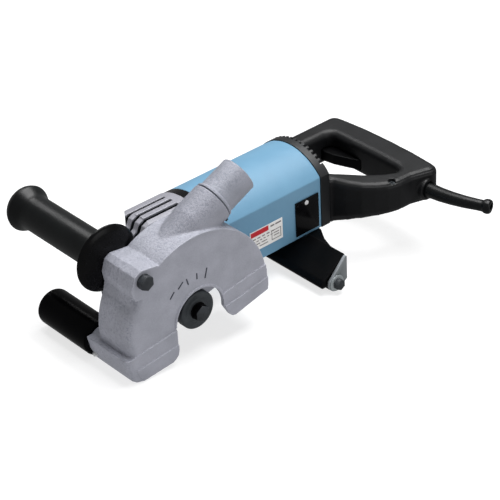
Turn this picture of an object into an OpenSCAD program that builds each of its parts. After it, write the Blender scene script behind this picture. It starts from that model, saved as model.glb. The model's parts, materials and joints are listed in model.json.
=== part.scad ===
// Wall chaser for two 150 mm diamond wheels.
// Millimetres.  +X runs to the rear handle, -Y to the operator's open side of
// the guard, +Z up.  The origin is on the spindle axis, at the middle of the
// wheel bay.  Every module is drawn square to the motor body; stance() then
// leans the machine until both rollers stand on a level surface.

/* [Wheel guard] */
// Radius of the guard over the wheels
guard_r = 90; // [88:1:94]
// Width of the guard along the spindle
guard_w = 50; // [48:1:52]
// Thickness of the cast rim
rim_t = 4; // [3:0.5:5]

/* [Dust outlet] */
// Outer radius of the dust spout
spout_r = 20; // [19:0.5:21]
// Bore radius of the dust spout
spout_bore_r = 17.5; // [16:0.5:18]
// Rise of the spout above the motor body, degrees
spout_rise = 25; // [20:1:28]
// Length of spout that stands out of the hood
spout_out = 39; // [30:1:45]

/* [Spindle] */
// Radius of the sleeve that the wheels sit on
arbor_r = 11.1; // [11.1:0.1:12.7]
// Radius of both clamp flanges
flange_r = 21; // [20:0.5:22]
// Teeth on the large bevel gear
gear_teeth = 36; // [36]
// Teeth on the bevel pinion
pinion_teeth = 11; // [11]
// Bevel gear module at the outer end of the teeth
bevel_module = 1.6; // [1.6]

/* [Motor] */
// Distance from the middle of the wheel bay to the motor axis
motor_y = 79; // [79]
// Half width of the motor body
body_half = 47.3; // [47:0.1:48]
// Radius of the arched top of the motor body
arch_r = 60.8; // [59:0.1:61]
// Front end of the plastic motor housing
motor_x0 = 80; // [80]
// Rear end of the plastic motor housing
motor_x1 = 220.5; // [220:0.5:221]
// Wall of the plastic motor housing
motor_wall = 3; // [2.5:0.25:3]

/* [Handle] */
// Height of the top of the D handle above the motor axis
handle_top = 28; // [26:0.5:29]
// Depth of the underside of the D handle below the motor axis
handle_low = 11.4; // [8:0.1:12]
// Height of the joint between the two handle shells
handle_split = 9; // [8:0.5:10]
// Wall of the handle shells
handle_wall = 3.2; // [3:0.1:3.5]

/* [Rollers] */
// Radius of the front roller
front_roller_r = 20; // [19:0.5:20.5]
// Radius of the rear roller
rear_roller_r = 10.4; // [10:0.1:10.6]

/* [Side grip] */
// Radius of the side grip
grip_r = 19; // [17.5:0.1:19.5]
// Radius of the flared end of the side grip
grip_end_r = 24.9; // [23:0.1:26]
// Radius of the hand shield
shield_r = 36.3; // [35:0.1:38]

/* [Hidden] */
$fn = 96;
soft_fn = 32;
eps = 0.5;              // overrun of a cut past a face
fit = 0.05;             // running clearance on the radius

guard_y0 = -guard_w / 2;
guard_y1 = guard_w / 2;
face_t = 3.5;
step_t = 1.4;           // each step on the guard's lower lobes
shoe_r = guard_r + 7.5;   // radius of the shoe at the guard's lower front
neck_r = 30;
collar_r = 36;
collar_y1 = 30.4;

grip_x = -66.8;
grip_z = 69.8;
front_x = -79.5;
front_z = -23.5;
front_y0 = 38.6;
front_y1 = 120.3;
rear_x = 181;
rear_z = -49.3;
rear_y0 = -29;
rear_y1 = 95;
roller_gap = sqrt(pow(rear_x - front_x, 2) + pow(rear_z - front_z, 2));
lean = atan2(rear_z - front_z, rear_x - front_x)
     + asin((front_roller_r - rear_roller_r) / roller_gap);

hood_x = 47;            // where the spout leaves the hood
hood_y = 1;
hood_z = 99.3;
hood_bore_r = spout_bore_r + 1.1;

box_y0 = 31;            // near face of the bearing box
gear_y0 = 36;           // near face of the gear housing
gear_y1 = motor_y + 45; // far face of the gear housing
ring_x0 = 68;           // black baffle ring between gear and motor housing
pitch_r = gear_teeth * bevel_module / 2;
pinion_r = pinion_teeth * bevel_module / 2;
tooth_h = 0.85;         // tooth above and below the pitch cone
root_h = 1.1;           // depth of the blanks below the pitch cone
tooth_w = 1.1;          // tooth width at the pitch cone
tooth_len = 7.6;

deep = 44;              // underside below the axis, front part of the motor
shallow = 33;           // underside below the axis, over the rear bracket
step_x = 158;
rear_ring_x1 = 233;
handle_x0 = rear_ring_x1;

trigger_y0 = 62;
trigger_y1 = 118;
trigger_x0 = 295;
trigger_z0 = -4;
trigger_z1 = handle_split - 0.6;

// ---------------------------------------------------------------- helpers

// Lean of the whole machine on its two rollers.
module stance() rotate([0, lean, 0]) children();

// A flat (x, z) outline made solid from y0 to y1.
module slab(y0, y1)
  translate([0, y1, 0]) rotate([90, 0, 0]) linear_extrude(y1 - y0) children();

// A flat (y, z) outline made solid from x0 to x1.
module bar(x0, x1)
  translate([x0, 0, 0]) rotate([90, 0, 90]) linear_extrude(x1 - x0) children();

// Round rods along Y and along X.
module rod_y(r, y0, y1, x = 0, z = 0)
  translate([x, y0, z]) rotate([-90, 0, 0]) cylinder(h = y1 - y0, r = r);
module rod_x(r, x0, x1, y = motor_y, z = 0)
  translate([x0, y, z]) rotate([0, 90, 0]) cylinder(h = x1 - x0, r = r);

// Turned shapes: an (r, distance) outline spun about an axis along Y or X.
module turned_y(x = 0, z = 0)
  translate([x, 0, z]) rotate([-90, 0, 0]) rotate_extrude() children();
module turned_x(y = motor_y, z = 0)
  translate([0, y, z]) rotate([0, 90, 0]) rotate_extrude() children();

// Hexagon head along Y, measured across its corners.
module hex_y(corners, y0, y1, x = 0, z = 0)
  translate([x, y0, z]) rotate([-90, 30, 0])
    cylinder(h = y1 - y0, d = corners, $fn = 6);

// Places children at equal turns around an axis along Y or X.
module around_y(count, start = 0)
  for (i = [0 : count - 1]) rotate([0, start + i * 360 / count, 0]) children();
module around_motor(count, start = 0)
  translate([0, motor_y, 0])
    for (i = [0 : count - 1])
      rotate([start + i * 360 / count, 0, 0]) children();

// ---------------------------------------------------------------- guard

// Straight lower edges of the guard's front and rear lobes.
module lobe_field()
  polygon([[-110, -38.2], [-84, -44.2], [-36, -40.6], [40, -25.2],
           [110, -9.7], [110, 110], [-110, 110]]);

// Opening in the near face for the flange and the spindle bolt.
module notch() {
  translate([-0.2, -3]) circle(30.6);
  polygon([[-30.8, -3], [-31.2, -30], [-32.4, -35], [-35.5, -38.4],
           [-40, -40.9], [-40, -60], [62, -60], [48, -23.5],
           [44.6, -24.2], [40.6, -23.7], [37.6, -21.2], [24.5, 3]]);
}

// Boss that holds the side grip, at the upper front of the guard.
module boss_plan()
  polygon([[-30, 60], [-46, 77.5], [-68, 80.5], [-75, 76.5], [-79.5, 64],
           [-77.5, 52], [-80, 41], [-70, 30]]);

// Thicker near half of the boss, under the head of the grip bolt.
module boss_pad()
  polygon([[-47, 66], [-48, 78.6], [-68, 81.7], [-76.4, 77.2], [-81.6, 63.5],
           [-79, 54], [-70, 52]]);

module guard_plan() {
  intersection() { circle(guard_r); lobe_field(); }
  boss_plan();
}

module near_face_plan() difference() { guard_plan(); notch(); }

module far_face_plan() {
  difference() { guard_plan(); notch(); }
  circle(collar_r + 4);
}

// Part of the near face below a line through two points.
module below(a, b)
  intersection() {
    near_face_plan();
    polygon([a, b, [b[0], -80], [a[0], -80]]);
  }

// Lower front band of the guard and the ear that carries the front roller.
module shoe_plan()
  intersection() {
    circle(shoe_r);
    polygon([[-100, -13.5], [-86, -12.4], [-78, -43.7], [-84, -44.2],
             [-100, -40.5]]);
  }

module roller_ear() slab(guard_y1 - 4, front_y0 - 0.6) {
  translate([front_x, front_z]) circle(15);
  intersection() {
    circle(shoe_r);
    polygon([[-100, -13.5], [-70, -10], [-62, -40], [-84, -44.2],
             [-100, -40.5]]);
  }
}

// Cuts the near edge of a rim back in two flats, between two heights.
module edge_cut(outer, near, z0, z1) intersection() {
  turned_y()
    polygon([[outer - 7.5, near - 0.6], [outer - 2.2, near + 2],
             [outer + 0.6, near + 7.5], [outer + 3, near + 7.5],
             [outer + 3, near - 0.6]]);
  translate([-120, -40, z0]) cube([70, 40, z1 - z0]);
}

module hood_axis()
  translate([hood_x, hood_y, hood_z]) rotate([0, 90 - spout_rise, 0])
    children();

module hood_rod(z0, z1, r0, r1)
  hood_axis() rotate([0, 0, 50]) translate([0, 0, z0])
    cylinder(h = z1 - z0, r1 = r0, r2 = r1);

// Hood that the spout plugs into, open to the wheels below it.
module dust_hood() difference() {
  union() {
    hood_rod(-94, -34, 15.5, 22.6);
    hood_rod(-34.2, -1.2, 22.6, 22.6);
  }
  rod_y(guard_r - rim_t + 1, guard_y0 + face_t, guard_y1 - rim_t);
}

// Depth scale marks on the near face: (x, z, lean from upright, length).
mark_spots = [[-33.3, 35.9, 43, 8.5], [-22, 42.5, 49, 8.6],
              [-13.2, 42.7, -14, 8], [-0.9, 43.6, 1, 6.8],
              [10.8, 42, 16, 11.3]];

module scale_marks() color([0.2, 0.2, 0.22])
  for (m = mark_spots)
    translate([m[0], guard_y0 - 0.35, m[1]]) rotate([0, m[2], 0])
      translate([-0.65, 0, -m[3] / 2]) cube([1.3, 0.35, m[3]]);

module wheel_guard() color([0.62, 0.62, 0.66]) difference() {
  union() {
    slab(guard_y0, guard_y0 + face_t) near_face_plan();
    slab(guard_y1 - rim_t, guard_y1) far_face_plan();
    slab(guard_y0 + 1, guard_y1 - 1) difference() {
      guard_plan();
      circle(guard_r - rim_t);
      translate([0, -60]) square([220, 30], center = true);
    }
    slab(guard_y0, guard_y1) difference() {
      guard_plan();
      circle(guard_r - rim_t);
      notch();
    }
    slab(guard_y0 - step_t, guard_y0 + 1) below([-95, -13.3], [-25, -6]);
    slab(guard_y0 - 2 * step_t, guard_y0 + 1)
      below([-95, -28.8], [-25, -23.3]);
    slab(guard_y0 - step_t, guard_y0 + 1) below([20, 5.7], [95, 17]);
    slab(guard_y0 - 2 * step_t, guard_y0 + 1) below([30, -8.6], [95, 1.5]);
    slab(guard_y0 - step_t, guard_y1) shoe_plan();
    slab(guard_y0, -1) boss_pad();
    slab(guard_y0 - 1.4, guard_y0 + 1) intersection() {
      near_face_plan();
      difference() {
        translate([-0.2, -3]) circle(32.8);
        translate([-50, -104]) square([100, 100]);
      }
    }
    roller_ear();
    rod_y(collar_r, guard_y1 - 1, collar_y1);
    translate([-14, guard_y1 - 1, 31]) cube([11, collar_y1 - guard_y1 + 1, 12]);
    translate([3, guard_y1 - 1, 31]) cube([11, collar_y1 - guard_y1 + 1, 12]);
    dust_hood();
  }
  rod_y(neck_r + fit, guard_y1 - rim_t - eps, collar_y1 + eps);
  translate([-3, guard_y1, 28]) cube([6, 10, 16]);
  translate([-20, 27.8, 39]) rotate([0, 90, 0]) cylinder(h = 40, r = 2.1);
  hood_rod(-50, 4, hood_bore_r, hood_bore_r);
  hood_rod(-9, 3, spout_r, spout_r);
  rod_y(5.1, guard_y0 - 5, guard_y1 + 5, grip_x, grip_z);
  rod_y(5, guard_y1 - rim_t - eps, front_y0, front_x, front_z);
  spout_screw_pair(1.62, 5);
  edge_cut(guard_r, guard_y0, -13.2, 50);
  edge_cut(shoe_r, guard_y0 - step_t, -45, -13.2);
  roller_screw_axis() translate([0, 0, -1]) cylinder(h = 12, r = 3.02);
}

module spout_screw_pair(r, len)
  for (side = [-1, 1])
    hood_axis() rotate([0, 0, side * 45 - 90]) translate([0, spout_r, -5])
      rotate([-90, 0, 0]) cylinder(h = len, r = r);

// Tube that the vacuum hose plugs into.
module dust_spout() color([0.66, 0.66, 0.69]) hood_axis() rotate_extrude()
  polygon([[spout_bore_r, -9], [spout_r, -9], [spout_r, 0.3],
           [spout_r + 1.9, 0.3], [spout_r + 1.9, 2.3], [spout_r, 3.9],
           [spout_r, spout_out - 1.2],
           [spout_r - 1.2, spout_out], [spout_bore_r, spout_out]]);

// Two grub screws that hold the spout in the hood.
module spout_screws() color([0.25, 0.25, 0.27]) spout_screw_pair(1.6, 4);

// Bolt that pinches the split collar on the neck once the depth is set.
module guard_clamp_bolt() color([0.3, 0.3, 0.32]) {
  translate([-17.5, 27.8, 39]) rotate([0, 90, 0]) cylinder(h = 35, r = 2);
  translate([-18, 27.8, 39]) rotate([0, 90, 0]) cylinder(h = 4, r = 2.6, $fn = 6);
  translate([14, 27.8, 39]) rotate([0, 90, 0]) cylinder(h = 2.6, r = 2.6, $fn = 6);
}

// Long bolt through the boss into the side grip.
module grip_bolt() color([0.16, 0.17, 0.18]) {
  rod_y(5, guard_y0, 62, grip_x, grip_z);
  rod_y(8, guard_y0 - 1.2, guard_y0, grip_x, grip_z);
  hex_y(16.7, guard_y0 - 7.6, guard_y0 - 1.2, grip_x, grip_z);
}

module side_grip() color([0.09, 0.1, 0.1]) difference() {
  turned_y(grip_x, grip_z) {
    polygon([[0, 32], [grip_r - 2, 32], [grip_r, 34], [grip_r, 148],
             [grip_r + 0.7, 152.5], [grip_end_r - 1.8, 158.5],
             [grip_end_r, 162], [grip_end_r, 164], [grip_end_r - 2, 169.4],
             [grip_end_r - 7, 174], [grip_end_r - 14, 176], [0, 176.5]]);
  }
  rod_y(5.03, 30, 63, grip_x, grip_z);
}

// Dished shield that keeps the hand off the guard.
module hand_shield() color([0.05, 0.05, 0.05])
  turned_y(grip_x, grip_z)
    polygon([[5.03, 25], [17, 25], [20, 26], [shield_r - 6, 28.2],
             [shield_r - 1.6, 30.2], [shield_r, 32], [shield_r, 33],
             [shield_r - 1.2, 33.4], [shield_r - 6, 31.6], [24, 30],
             [grip_r, 32], [5.03, 32]]);

// Fixed axle of the front roller.
module roller_axle() color([0.55, 0.56, 0.58]) {
  rod_y(4.95, guard_y1 - 4, 112, front_x, front_z);
  rod_y(8, front_y0 - 0.6, front_y0 - 0.1, front_x, front_z);
}

// Screw that locks the axle in the ear.
module roller_screw_axis()
  translate([-88, 33, -33]) rotate([0, -120, 0]) children();

module roller_screw() color([0.8, 0.8, 0.8]) roller_screw_axis() {
  cylinder(h = 5.4, r = 3);
  translate([0, 0, 5.4]) sphere(r = 1.6);
}

module front_roller() color([0.05, 0.05, 0.05]) difference() {
  turned_y(front_x, front_z)
    polygon([[0, front_y0], [front_roller_r - 1, front_y0],
             [front_roller_r, front_y0 + 1],
             [front_roller_r, front_y1 - 3.5],
             [front_roller_r - 1, front_y1 - 1.2],
             [front_roller_r - 3.5, front_y1], [0, front_y1]]);
  rod_y(5, front_y0 - 1, 114, front_x, front_z);
}

// ---------------------------------------------------------------- spindle

module spindle() color([0.7, 0.7, 0.72]) difference() {
  turned_y()
    polygon([[0, -11], [9, -11], [9, 19], [9.5, 19], [9.5, 23.2], [7.5, 23.2],
             [7.5, 34.8], [9.5, 34.8], [9.5, 50], [8, 50], [8, 66.5],
             [6, 66.5], [6, 99], [0, 99]]);
  rod_y(5, -12, 12);
  translate([-1.55, 52.4, 6.9]) cube([3.1, 8.2, 3]);
}

module inner_flange() color([0.22, 0.22, 0.23]) turned_y()
  polygon([[9, -13], [arbor_r, -13], [arbor_r, 14.5], [15, 14.5],
           [flange_r - 4, 14], [flange_r, 14], [flange_r, 18],
           [16, 19], [9, 19]]);

// Rings that set the width of the groove between the two wheels.
module spacer_rings() color([0.72, 0.72, 0.74])
  for (i = [0 : 3])
    turned_y() translate([0, -11.9 + i * 6.4])
      polygon([[arbor_r + fit, 0.1], [17, 0.1], [17, 6.3],
               [arbor_r + fit, 6.3]]);

module outer_flange() color([0.07, 0.07, 0.07]) turned_y()
  polygon([[5.1, -21.4], [12, -21.4], [13, -20.4], [flange_r - 2, -21.9],
           [flange_r, -20.9], [flange_r, -12], [arbor_r + 0.1, -12],
           [arbor_r + 0.1, -13.2], [5.1, -13.2]]);

module arbor_bolt() color([0.14, 0.14, 0.15]) {
  rod_y(5, -21.4, 6);
  rod_y(9.4, -22.8, -21.4);
  hex_y(18.5, -30.4, -22.8);
}

module gear_key() color([0.6, 0.6, 0.6])
  translate([-1.5, 52.5, 7]) cube([3, 8, 2.4]);

// One straight tooth on a cone: a trapezium run along the cone's side.
module tooth(root_extra = 0)
  rotate([90, 0, 90]) linear_extrude(tooth_len)
    polygon([[-tooth_w / 2 - 0.36, -tooth_h - root_extra],
             [tooth_w / 2 + 0.36, -tooth_h - root_extra],
             [tooth_w / 2 + 0.36, -tooth_h],
             [tooth_w / 2 - 0.36, tooth_h], [-tooth_w / 2 + 0.36, tooth_h],
             [-tooth_w / 2 - 0.36, -tooth_h]]);

cone_gear = atan2(pinion_r, pitch_r);      // pitch cone, from the gear's face
cone_len = sqrt(pitch_r * pitch_r + pinion_r * pinion_r);

// Distance of a point on the gear blank's cone: r along, h above the cone.
function cone_pt(s, h) =
  [s * cos(cone_gear) + h * sin(cone_gear),
   motor_y - s * sin(cone_gear) + h * cos(cone_gear)];

module bevel_gear() color([0.5, 0.5, 0.52]) difference() {
  union() {
    turned_y() polygon([
      [8 + 0.02, 52], [27, 52], [27, 54], [31.5, 54], [31.5, 65],
      cone_pt(cone_len + 0.4, -root_h),
      cone_pt(cone_len - tooth_len - 0.4, -root_h),
      [17.6, 66.5], [8 + 0.02, 66.5]]);
    for (i = [0 : gear_teeth - 1])
      rotate([0, i * 360 / gear_teeth, 0])
        translate([0, motor_y, 0]) rotate([0, 0, -cone_gear])
          translate([cone_len - tooth_len, 0, 0]) rotate([-90, 0, 0])
            tooth(0.6);
  }
  translate([-1.55, 51, 6]) cube([3.1, 10, 3.5]);
  for (i = [0 : 3]) rotate([0, i * 90, 0])
    translate([-32, 59, 0]) rotate([0, 90, 0]) cylinder(h = 6, r = 3.4);
}

// ---------------------------------------------------------------- gear case

module bearing_box() color([0.6, 0.6, 0.63]) difference() {
  turned_y()
    polygon([[9.8, 20], [neck_r - 1, 20], [neck_r, 21], [neck_r, box_y0],
             [43, box_y0], [43, gear_y0], [32, gear_y0], [32, 38.5],
             [17.5, 38.5], [17.5, 23.2], [9.8, 23.2]]);
  around_y(4, 45) {
    rod_y(2.6, box_y0 - eps, gear_y0 + eps, 38.4);
    rod_y(4.4, box_y0 - eps, box_y0 + 3, 38.4);
  }
}

module bearing_box_screws() color([0.35, 0.35, 0.36]) around_y(4, 45)
  difference() {
    union() {
      rod_y(2.5, box_y0 + 2, 48, 38.4);
      rod_y(4.2, box_y0 + 0.2, box_y0 + 3, 38.4);
    }
    hex_y(4.6, box_y0 - eps, box_y0 + 1.8, 38.4);
  }

// Closed, sealed ball bearings, each drawn as one ring with its shields.
module sealed_bearing(r0, r1, w) rotate_extrude()
  polygon([[r0, 0], [r0 + 2.2, 0], [r0 + 2.2, 0.6], [r1 - 2.2, 0.6],
           [r1 - 2.2, 0], [r1, 0], [r1, w], [r1 - 2.2, w],
           [r1 - 2.2, w - 0.6], [r0 + 2.2, w - 0.6], [r0 + 2.2, w], [r0, w]]);

module spindle_bearing() color([0.75, 0.75, 0.77])
  translate([0, 23.4, 0]) rotate([-90, 0, 0])
    sealed_bearing(7.5 + fit, 17.45, 11);

module spindle_bush() color([0.72, 0.6, 0.35])
  turned_y() polygon([[6 + fit, 88.05], [8.97, 88.05], [8.97, 99.5],
                      [6 + fit, 99.5]]);

// Outline (y, z) of the motor body; grow moves every wall outwards.
module body_section(grow = 0, low = deep)
  intersection() {
    translate([motor_y, -1]) circle(arch_r + grow);
    translate([motor_y, 0])
      polygon([[-body_half - grow, -25.4], [-21, -low - grow],
               [21, -low - grow], [body_half + grow, -25.4],
               [body_half + grow, 70], [-body_half - grow, 70]]);
  }

// Side view (x, z) of the gear housing.
module gear_side() {
  circle(45);
  polygon([[ring_x0, -43], [ring_x0, 70], [13, 70], [13, 59.5], [6.5, 57],
           [3, 50], [-12, 41], [2, -43]]);
}

// What the cooling slots leave standing, in the same view.
module slot_floor() {
  circle(36);
  polygon([[ring_x0, -30], [ring_x0, 50.5], [15, 50.5], [9, 43.5], [-8, 35.1],
           [0, -30]]);
}

// Corner (x, y) cut off the front of the gear housing on its far side.
module far_corner()
  polygon([[-60, 80], [-6, 80], [29.6, 130], [-60, 130]]);

slot_w = 4.4;
slot_pitch = 11;

module cooling_slots()
  for (i = [0 : 3])
    let (y = motor_y - 20.2 + i * slot_pitch)
      slab(y, y + slot_w) difference() {
        polygon([[-60, 4], [57, 4], [57, 80], [-60, 80]]);
        slot_floor();
      }

module gear_housing() color([0.72, 0.71, 0.74]) difference() {
  intersection() {
    slab(gear_y0, gear_y1) gear_side();
    bar(-60, ring_x0 + 5) body_section(0.9);
  }
  cooling_slots();
  difference() {
    linear_extrude(140, center = true) far_corner();
    rod_y(14, 70, 104);
  }
  rod_y(33, gear_y0 - eps, 74);
  rod_y(12, 73, 88);
  rod_y(9, 87, 99.6);
  rod_x(12.5, 5, 40);
  rod_x(16, 39, 50.2);
  rod_x(13.5, 50, 56);
  rod_x(34, 55, ring_x0 + eps);
  around_y(4, 45) rod_y(2.5, gear_y0 - eps, 48, 38.4);
  rod_x(3.05, -50, -30, 59);
  rod_x(6.2, -52, -36, 59);
  around_motor(4, 45) rod_x(2.6, 50, ring_x0 + eps, 0, 47.5);
}

module gear_housing_screws() color([0.4, 0.4, 0.42]) around_motor(4, 45)
  rod_x(2.5, 52, 96, 0, 47.5);

// Black ring that guides the cooling air, between the two housings.
module baffle_ring() color([0.05, 0.05, 0.05]) difference() {
  bar(ring_x0, motor_x0) body_section(0.1);
  rod_x(32, ring_x0 - eps, motor_x0 + eps);
  around_motor(4, 45) rod_x(2.55, ring_x0 - eps, motor_x0 + eps, 0, 47.5);
}

module shaft_lock_pin() color([0.1, 0.1, 0.1]) {
  rod_x(3, -49.5, -32.6, 59);
  turned_x(59) polygon([[3, -54], [6, -53.5], [6, -43], [3, -43]]);
  rod_x(3.5, -54, -49, 59);
}

module shaft_lock_spring() color([0.6, 0.6, 0.6])
  turned_x(59) polygon([[3.4, -42.8], [5.4, -42.8], [5.4, -36.3],
                        [3.4, -36.3]]);

// ---------------------------------------------------------------- motor

module armature_shaft() color([0.72, 0.72, 0.74]) turned_x()
  polygon([[0, 17.5], [4.5, 17.5], [5, 18], [5, 38.5], [6, 38.5], [6, 206],
           [5, 206], [5, 218.5], [0, 218.5]]);

module bevel_pinion() color([0.5, 0.5, 0.52]) {
  turned_x() polygon([
    [5.02, pitch_r - tooth_len - 1],
    [(cone_len - tooth_len - 0.4) * sin(cone_gear) - root_h,
     pitch_r - tooth_len - 1],
    [(cone_len + 0.2) * sin(cone_gear) - root_h, pitch_r + 0.5],
    [7.4, pitch_r + 1], [8.6, pitch_r + 1.4], [8.6, 36], [5.02, 36]]);
  translate([0, motor_y, 0])
    for (i = [0 : pinion_teeth - 1])
      rotate([(i + 0.5) * 360 / pinion_teeth, 0, 0])
        rotate([0, 0, -cone_gear])
          translate([cone_len - tooth_len, 0, 0]) rotate([90, 0, 0])
            tooth(0.5);
}

module cooling_fan() color([0.12, 0.12, 0.12]) {
  turned_x() polygon([[6.02, 83], [12, 83], [12, 91], [39, 92.5], [39, 94],
                      [6.02, 94]]);
  around_motor(13) translate([83.5, -0.8, 16]) cube([9, 1.6, 22.5]);
}

module armature_core() color([0.5, 0.5, 0.52]) bar(101, 153) difference() {
  translate([motor_y, 0]) circle(26.5);
  translate([motor_y, 0]) circle(6.02);
  for (i = [0 : 11]) translate([motor_y, 0]) rotate(i * 30)
    translate([17, -1.5]) square([12, 3]);
}

module armature_winding() color([0.6, 0.33, 0.16]) turned_x() {
  polygon([[6.02, 96], [14, 96], [22, 98.5], [23, 101], [6.02, 101]]);
  polygon([[6.02, 153], [23, 153], [22, 158], [16, 168], [12, 176],
           [12, 184], [6.02, 184]]);
}

module commutator() color([0.72, 0.45, 0.25]) difference() {
  turned_x() polygon([[6.02, 184], [18.5, 184], [18.5, 187], [16, 187],
                      [16, 205], [6.02, 205]]);
  around_motor(24) translate([186, -0.25, 15.2]) cube([20, 0.5, 4]);
}

module front_motor_bearing() color([0.75, 0.75, 0.77])
  translate([40, motor_y, 0]) rotate([0, 90, 0])
    sealed_bearing(6 + fit, 15.95, 10);

module rear_motor_bearing() color([0.75, 0.75, 0.77])
  translate([209, motor_y, 0]) rotate([0, 90, 0])
    sealed_bearing(5 + fit, 14.95, 9);

module brush_window(side) translate([188, motor_y + side * 42 - 10, -12])
  cube([14, 20, 24]);

module motor_space() {
  bar(motor_x0 - eps, step_x - motor_wall) body_section(-motor_wall, deep);
  bar(step_x - motor_wall - eps, motor_x1 + eps)
    body_section(-motor_wall, shallow);
}

// Bearing seat on spokes at the rear of the motor housing.
module bearing_bridge() {
  rod_x(19, 208.5, motor_x1 - 1);
  around_motor(6) translate([208.5, -2, 17]) cube([8, 4, 60]);
}

// Posts for the four screws, webbed out to the wall.
module screw_posts() around_motor(4, 45) {
  rod_x(5.2, motor_x0 + 0.2, 97, 0, 47.5);
  translate([motor_x0 + 0.2, -2, 49]) cube([16.6, 4, 20]);
}

module motor_housing() color([0.45, 0.66, 0.78]) difference() {
  union() {
    difference() {
      union() {
        bar(motor_x0, step_x) body_section(0, deep);
        bar(step_x - eps, motor_x1) body_section(0, shallow);
      }
      motor_space();
    }
    intersection() {
      bearing_bridge();
      bar(200, motor_x1) body_section(-motor_wall / 2, shallow);
    }
    intersection() {
      screw_posts();
      bar(motor_x0, 100) body_section(-motor_wall / 2, deep);
    }
  }
  rod_x(15, 209, motor_x1 + eps);
  rod_x(7, 207, 210);
  around_motor(4, 45) rod_x(2.5, motor_x0 - eps, 96.2, 0, 47.5);
  for (side = [-1, 1]) brush_window(side);
  for (side = [-1, 1])
    translate([197.9, motor_y + side * 40, 16.6]) rotate([-90 * side, 0, 0])
      cylinder(h = 10, r = 1.5);
}

module field_core() color([0.45, 0.45, 0.47]) bar(102, 152)
  translate([motor_y, 0]) difference() {
    circle(40.6);
    circle(27.5);
    for (side = [0, 180]) rotate(side) intersection() {
      difference() { circle(36); circle(27); }
      polygon([[0, 0], [60, 36], [60, -36]]);
    }
  }

// Two field coils, one to each side of the armature.
module field_coils() color([0.62, 0.35, 0.18])
  for (side = [0, 180])
    bar(97, 157) translate([motor_y, 0]) rotate(side) intersection() {
      difference() { circle(35.6); circle(28.2); }
      polygon([[0, 0], [60, 33], [60, -33]]);
    }

module name_plate() color([0.9, 0.9, 0.9])
  translate([117.5, motor_y - body_half - 0.5, -12]) cube([46, 0.5, 25]);

module brush_holders() color([0.66, 0.55, 0.3]) for (side = [-1, 1])
  translate([0, motor_y, 0]) rotate([side < 0 ? 180 : 0, 0, 0])
    difference() {
      translate([189, 18.5, -9]) cube([12, 21, 18]);
      translate([191, 17, -7]) cube([8, 24, 14]);
    }

module carbon_brushes() color([0.16, 0.16, 0.16]) for (side = [-1, 1])
  translate([0, motor_y, 0]) rotate([side < 0 ? 180 : 0, 0, 0])
    difference() {
      translate([191.1, 15, -6.9]) cube([7.8, 15, 13.8]);
      rod_x(16.1, 190, 200, 0);
    }

module brush_springs() color([0.7, 0.7, 0.7]) for (side = [-1, 1])
  translate([195, motor_y + side * (side > 0 ? 30.1 : 39.4), 0])
    rotate([-90, 0, 0]) difference() {
      cylinder(h = 9.3, r = 3.6);
      translate([0, 0, -1]) cylinder(h = 12, r = 2.6);
    }

module brush_cover() difference() {
  union() {
    translate([182.5, -1.4, -20.9]) cube([33.4, 1.35, 41.8]);
    translate([188.3, 0, -11.7]) cube([13.4, 4, 23.4]);
  }
  translate([189.8, -0.2, -10]) cube([10.4, 5, 20]);
  rod_y(1.6, -2, 2, 197.9, 16.6);
}

module brush_cover_near() color([0.06, 0.06, 0.07])
  translate([0, motor_y - body_half, 0]) brush_cover();

module brush_cover_far() color([0.06, 0.06, 0.07])
  translate([0, motor_y + body_half, 0]) mirror([0, 1, 0]) brush_cover();

module brush_cover_screws() color([0.85, 0.85, 0.83]) for (side = [-1, 1])
  translate([0, motor_y, 0]) mirror([0, side > 0 ? 1 : 0, 0]) difference() {
    union() {
      rod_y(1.45, -body_half - 1, -body_half + 6, 197.9, 16.6);
      rod_y(2.6, -body_half - 2.2, -body_half - 1.45, 197.9, 16.6);
    }
    translate([197.4, -body_half - 2.8, 14]) cube([1, 1, 6]);
  }

// Vented end ring behind the motor housing.
module rear_vent_ring() color([0.07, 0.07, 0.08]) difference() {
  bar(motor_x1, rear_ring_x1) body_section(0.8, shallow);
  bar(motor_x1 - eps, 229.5) body_section(-3.2, shallow);
  for (i = [-6 : 6]) translate([0, motor_y, -1]) rotate([i * 6.2, 0, 0])
    translate([229, -1.6, 51]) cube([6, 3.2, 12]);
  for (i = [-5 : 5]) translate([228, motor_y + i * 7 - 1.6, 30])
    cube([8, 3.2, 14]);
}

// ---------------------------------------------------------------- rear feet

// Plan (x, y) of the bracket: it flares out to the near side.
module bracket_plan()
  polygon([[150, -28.9], [197, -28.9], [200.8, -17], [203.3, 0], [209, 15],
           [219, 31], [219, 104], [150, 104]]);

module bracket_side()
  polygon([[162, -48], [166, -42.5], [197, -21.4], [199, -26.5],
           [219.5, -26.5], [219.5, -34], [197, -51.5], [163.5, -51.5]]);

module rear_bracket() color([0.05, 0.05, 0.05]) difference() {
  intersection() {
    translate([0, 0, -60]) linear_extrude(60) bracket_plan();
    slab(-40, 120) bracket_side();
  }
  bar(140, 230) body_section(0.02, shallow);
  translate([150, 28, -24.4]) cube([80, 110, 40]);
  rod_y(rear_roller_r + 1.6, -40, 96.8, rear_x, rear_z);
  translate([rear_x - 9, -40, -70]) cube([18, 136.8, 21]);
  rod_y(4.1, 90, 120, rear_x, rear_z);
}

module plate_plan() difference() {
  polygon(concat([[197, -50.5], [197, -23], [195.8, -21.6], [194.4, -22.2]],
                 arc_pts(rear_x, rear_z, 10.2, 150, 300, 12)));
  translate([rear_x, rear_z]) circle(4.05);
}

module rear_plate_near() color([0.5, 0.52, 0.52])
  slab(-32.2, -28.95) plate_plan();

module rear_plate_far() color([0.5, 0.52, 0.52]) difference() {
  slab(104.05, 107) plate_plan();
  translate([160, 100, -33.3]) cube([60, 10, 20]);
}

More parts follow.
